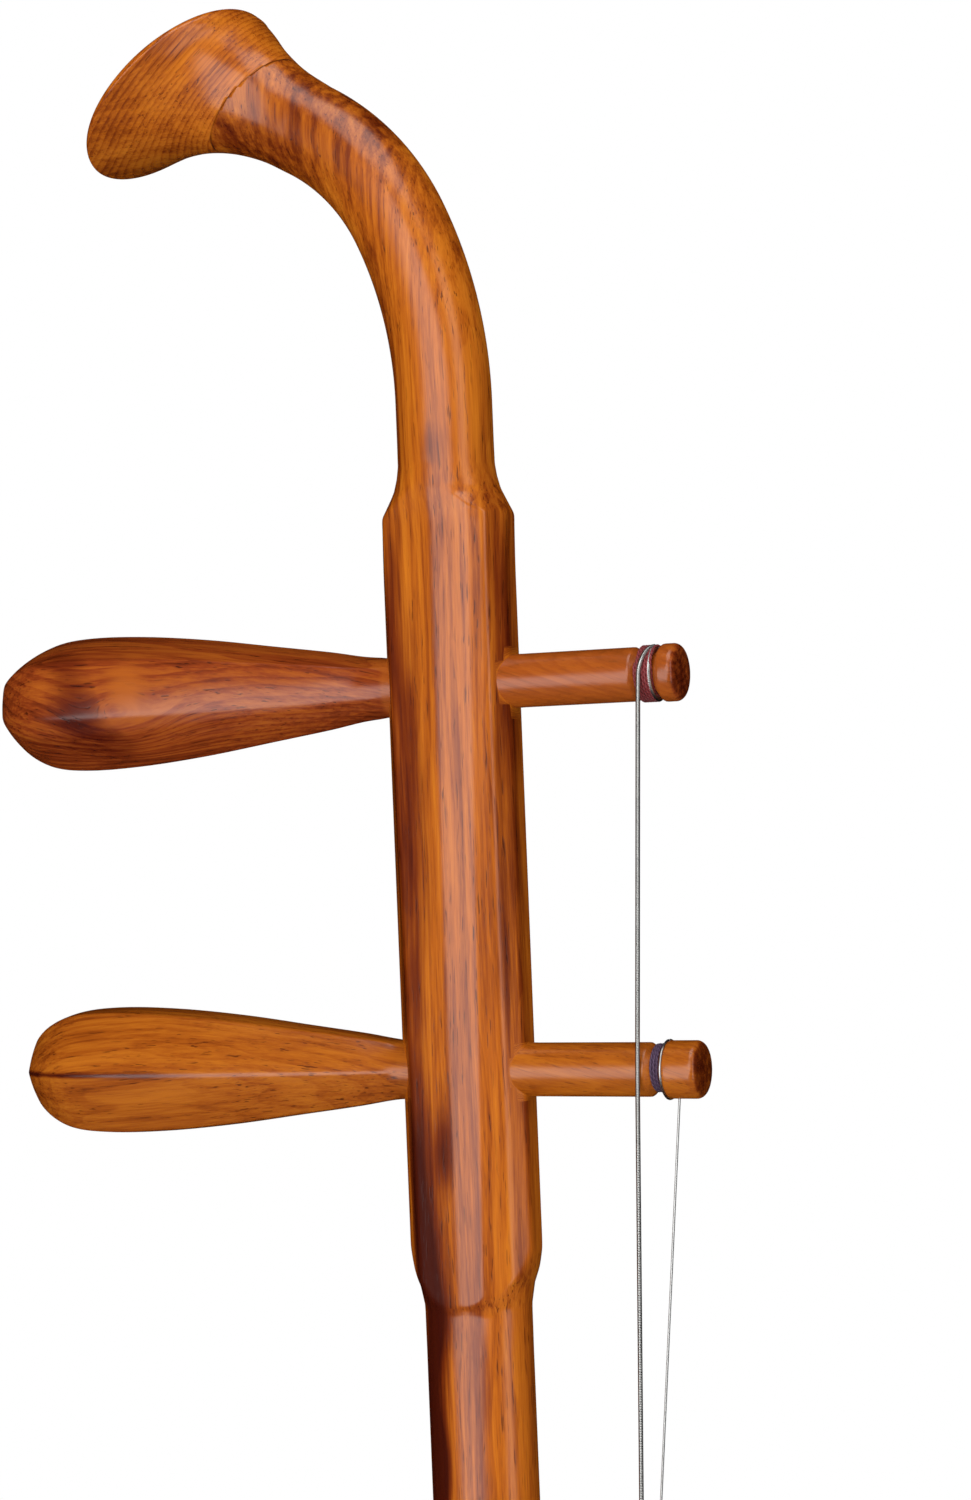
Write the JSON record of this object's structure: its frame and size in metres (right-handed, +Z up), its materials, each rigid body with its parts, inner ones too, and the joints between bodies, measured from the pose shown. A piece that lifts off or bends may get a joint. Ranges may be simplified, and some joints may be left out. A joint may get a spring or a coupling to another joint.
{
  "type": "erhu",
  "caption": "Two-stringed upright fiddle: bent-headed wooden neck with turning pegs, hexagonal soundbox with a skin face, flat base.",
  "frame": {"origin": "on the neck's axis, in the plane that the instrument stands on (the underside of the base pad)", "axes": "+Z up along the neck, +X towards the strings and the skin face, -Y towards the inner string"},
  "size_m": [0.1595, 0.102, 0.8286],
  "materials": {
    "rosewood": "oiled and lacquered rosewood, satin gloss",
    "peg_wood": "lacquered rosewood, hand planed",
    "dark_wood": "dark lacquered rosewood",
    "bridge_maple": "bare close-grained maple",
    "crimson_silk": "twisted silk thread",
    "violet_silk": "twisted silk thread",
    "wound_steel": "steel core wound with fine steel wire",
    "plain_steel": "polished steel wire",
    "steel": "machined steel",
    "nut_cord": "waxed cotton cord",
    "snakeskin": "python skin, scaled, low sheen",
    "band_ribbon": "woven ribbon",
    "felt": "wool felt",
    "leather_pad": "dark leather",
    "brass": "satin brass"
  },
  "bodies": {
    "body": {"neck": "rosewood", "head_finial": "rosewood", "inner_string": "wound_steel", "outer_string": "plain_steel", "qianjin_winding": "nut_cord", "qianjin_loop": "nut_cord", "top_board": "rosewood", "upper_far_board": "rosewood", "lower_far_board": "rosewood", "bottom_board": "rosewood", "lower_near_board": "rosewood", "upper_near_board": "rosewood", "snakeskin": "snakeskin", "skin_band": "band_ribbon", "rear_rim": "dark_wood", "sound_window": "dark_wood", "bridge": "bridge_maple", "damper_felt": "felt", "base": "dark_wood", "base_pad": "leather_pad", "base_screw": "steel", "string_hitch": "brass", "hitch_bar": "steel", "hitch_screws": "brass"},
    "upper_peg": {"upper_peg": "peg_wood", "upper_peg_silk": "crimson_silk", "inner_string_turn": "wound_steel"},
    "lower_peg": {"lower_peg": "peg_wood", "lower_peg_silk": "violet_silk", "outer_string_turn": "plain_steel"}
  },
  "joints": [
    {"name": "upper_peg_turn", "type": "hinge", "parent": "body", "child": "upper_peg", "pos_m": [0, 0, 0.6838], "axis": [1, 0, 0], "continuous": true},
    {"name": "lower_peg_turn", "type": "hinge", "parent": "body", "child": "lower_peg", "pos_m": [0, 0, 0.6042], "axis": [1, 0, 0], "continuous": true}
  ]
}
